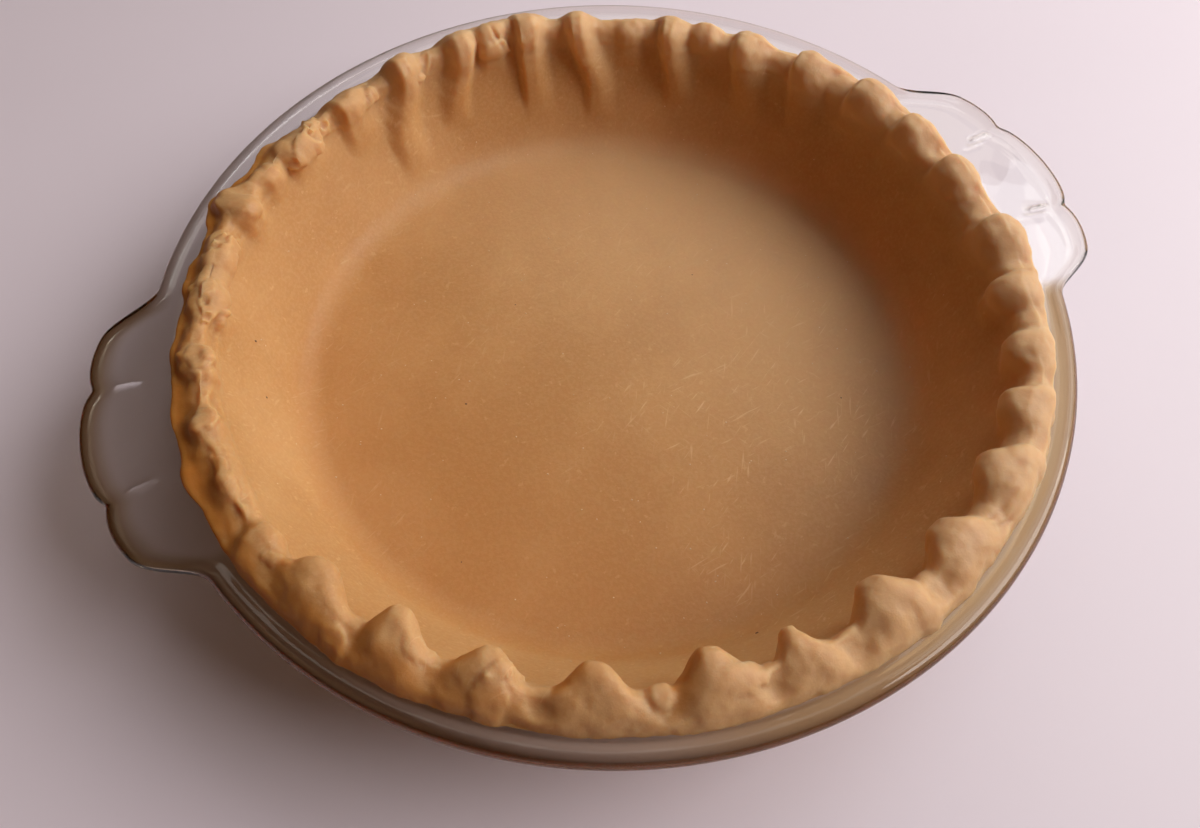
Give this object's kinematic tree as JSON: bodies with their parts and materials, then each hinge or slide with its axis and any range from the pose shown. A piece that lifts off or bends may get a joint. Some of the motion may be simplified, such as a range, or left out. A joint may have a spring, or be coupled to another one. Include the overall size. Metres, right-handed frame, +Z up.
{
  "type": "unbaked pie crust in a glass pie dish",
  "caption": "Empty unbaked pastry shell with an uneven hand-pinched fluted edge, lining a round clear glass pie dish with a scalloped handle at each end.",
  "frame": {"origin": "middle of the dish's underside, on the surface that it stands on", "axes": "+Z up, +X towards one of the two handles, +Y across the dish"},
  "size_m": [0.2874, 0.254, 0.0538],
  "materials": {
    "glass": "clear, smooth, with fire-rounded edges",
    "pastry": "raw short pastry, matt with a slight buttery sheen, fine grain and pale specks"
  },
  "bodies": {
    "root": {"glass_dish": "glass", "pastry_shell": "pastry"}
  },
  "joints": []
}
